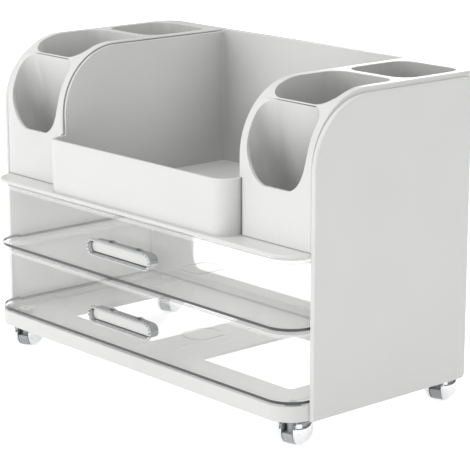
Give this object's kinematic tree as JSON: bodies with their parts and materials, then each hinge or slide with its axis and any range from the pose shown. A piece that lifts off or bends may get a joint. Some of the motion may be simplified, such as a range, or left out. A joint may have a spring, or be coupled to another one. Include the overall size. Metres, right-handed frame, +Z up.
{
  "type": "brush holder with drawers",
  "caption": "Desktop cosmetics organiser: open bin between two curved brush towers with cups, over clear pull-out drawers with beaded pulls, on swivelling twin-wheel casters.",
  "frame": {"origin": "middle of the footprint, on the surface that the casters stand on", "axes": "+X to the right as seen from the front, +Y to the back, +Z up; the drawers open towards -Y"},
  "size_m": [0.332, 0.1832, 0.2304],
  "materials": {
    "satin_white_plastic": "satin",
    "clear_plastic": "clear, polished",
    "chrome": "polished plating on cast metal",
    "pearl_inlay": "pearly white",
    "plated_plastic": "bright chrome plating on plastic",
    "silver_grey_plastic": "silver grey, glossy",
    "zinc_plated_steel": "bright zinc"
  },
  "bodies": {
    "carcass": {"base_tray": "satin_white_plastic", "left_side_panel": "satin_white_plastic", "right_side_panel": "satin_white_plastic", "rear_frame": "satin_white_plastic", "top_tray": "satin_white_plastic", "left_brush_tower": "satin_white_plastic", "right_brush_tower": "satin_white_plastic", "front_left_caster_pin": "zinc_plated_steel", "front_right_caster_pin": "zinc_plated_steel", "rear_left_caster_pin": "zinc_plated_steel", "rear_right_caster_pin": "zinc_plated_steel"},
    "upper_drawer": {"upper_drawer": "clear_plastic", "upper_pull": "chrome", "upper_pull_inlay": "pearl_inlay", "upper_pull_left_screw": "zinc_plated_steel", "upper_pull_right_screw": "zinc_plated_steel"},
    "lower_drawer": {"lower_drawer": "clear_plastic", "lower_pull": "chrome", "lower_pull_inlay": "pearl_inlay", "lower_pull_left_screw": "zinc_plated_steel", "lower_pull_right_screw": "zinc_plated_steel"},
    "front_left_swivel": {"front_left_caster_fork": "silver_grey_plastic", "front_left_caster_axle": "zinc_plated_steel"},
    "front_left_left_wheel": {"front_left_caster_left_wheel": "plated_plastic"},
    "front_left_right_wheel": {"front_left_caster_right_wheel": "plated_plastic"},
    "front_right_swivel": {"front_right_caster_fork": "silver_grey_plastic", "front_right_caster_axle": "zinc_plated_steel"},
    "front_right_left_wheel": {"front_right_caster_left_wheel": "plated_plastic"},
    "front_right_right_wheel": {"front_right_caster_right_wheel": "plated_plastic"},
    "rear_left_swivel": {"rear_left_caster_fork": "silver_grey_plastic", "rear_left_caster_axle": "zinc_plated_steel"},
    "rear_left_left_wheel": {"rear_left_caster_left_wheel": "plated_plastic"},
    "rear_left_right_wheel": {"rear_left_caster_right_wheel": "plated_plastic"},
    "rear_right_swivel": {"rear_right_caster_fork": "silver_grey_plastic", "rear_right_caster_axle": "zinc_plated_steel"},
    "rear_right_left_wheel": {"rear_right_caster_left_wheel": "plated_plastic"},
    "rear_right_right_wheel": {"rear_right_caster_right_wheel": "plated_plastic"}
  },
  "joints": [
    {"name": "upper_drawer_slide", "type": "slide", "parent": "carcass", "child": "upper_drawer", "axis": [0, -1, 0], "range_m": [0, 0.115]},
    {"name": "lower_drawer_slide", "type": "slide", "parent": "carcass", "child": "lower_drawer", "axis": [0, -1, 0], "range_m": [0, 0.115]},
    {"name": "front_left_caster_swivel", "type": "hinge", "parent": "carcass", "child": "front_left_swivel", "pos_m": [-0.1461, -0.06385, 0.0109], "axis": [0, 0, 1], "continuous": true},
    {"name": "front_left_left_wheel_spin", "type": "hinge", "parent": "front_left_swivel", "child": "front_left_left_wheel", "pos_m": [-0.1477, -0.06108, 0.0109], "axis": [0.866, 0.5, 0], "continuous": true},
    {"name": "front_left_right_wheel_spin", "type": "hinge", "parent": "front_left_swivel", "child": "front_left_right_wheel", "pos_m": [-0.1477, -0.06108, 0.0109], "axis": [0.866, 0.5, 0], "continuous": true},
    {"name": "front_right_caster_swivel", "type": "hinge", "parent": "carcass", "child": "front_right_swivel", "pos_m": [0.1461, -0.06385, 0.0109], "axis": [0, 0, 1], "continuous": true},
    {"name": "front_right_left_wheel_spin", "type": "hinge", "parent": "front_right_swivel", "child": "front_right_left_wheel", "pos_m": [0.14511, -0.06081, 0.0109], "axis": [0.9511, 0.309, 0], "continuous": true},
    {"name": "front_right_right_wheel_spin", "type": "hinge", "parent": "front_right_swivel", "child": "front_right_right_wheel", "pos_m": [0.14511, -0.06081, 0.0109], "axis": [0.9511, 0.309, 0], "continuous": true},
    {"name": "rear_left_caster_swivel", "type": "hinge", "parent": "carcass", "child": "rear_left_swivel", "pos_m": [-0.1461, 0.07345, 0.0109], "axis": [0, 0, 1], "continuous": true},
    {"name": "rear_left_left_wheel_spin", "type": "hinge", "parent": "rear_left_swivel", "child": "rear_left_left_wheel", "pos_m": [-0.1474, 0.07637, 0.0109], "axis": [0.9135, 0.4067, 0], "continuous": true},
    {"name": "rear_left_right_wheel_spin", "type": "hinge", "parent": "rear_left_swivel", "child": "rear_left_right_wheel", "pos_m": [-0.1474, 0.07637, 0.0109], "axis": [0.9135, 0.4067, 0], "continuous": true},
    {"name": "rear_right_caster_swivel", "type": "hinge", "parent": "carcass", "child": "rear_right_swivel", "pos_m": [0.1461, 0.07345, 0.0109], "axis": [0, 0, 1], "continuous": true},
    {"name": "rear_right_left_wheel_spin", "type": "hinge", "parent": "rear_right_swivel", "child": "rear_right_left_wheel", "pos_m": [0.14495, 0.07644, 0.0109], "axis": [0.9336, 0.3584, 0], "continuous": true},
    {"name": "rear_right_right_wheel_spin", "type": "hinge", "parent": "rear_right_swivel", "child": "rear_right_right_wheel", "pos_m": [0.14495, 0.07644, 0.0109], "axis": [0.9336, 0.3584, 0], "continuous": true}
  ]
}
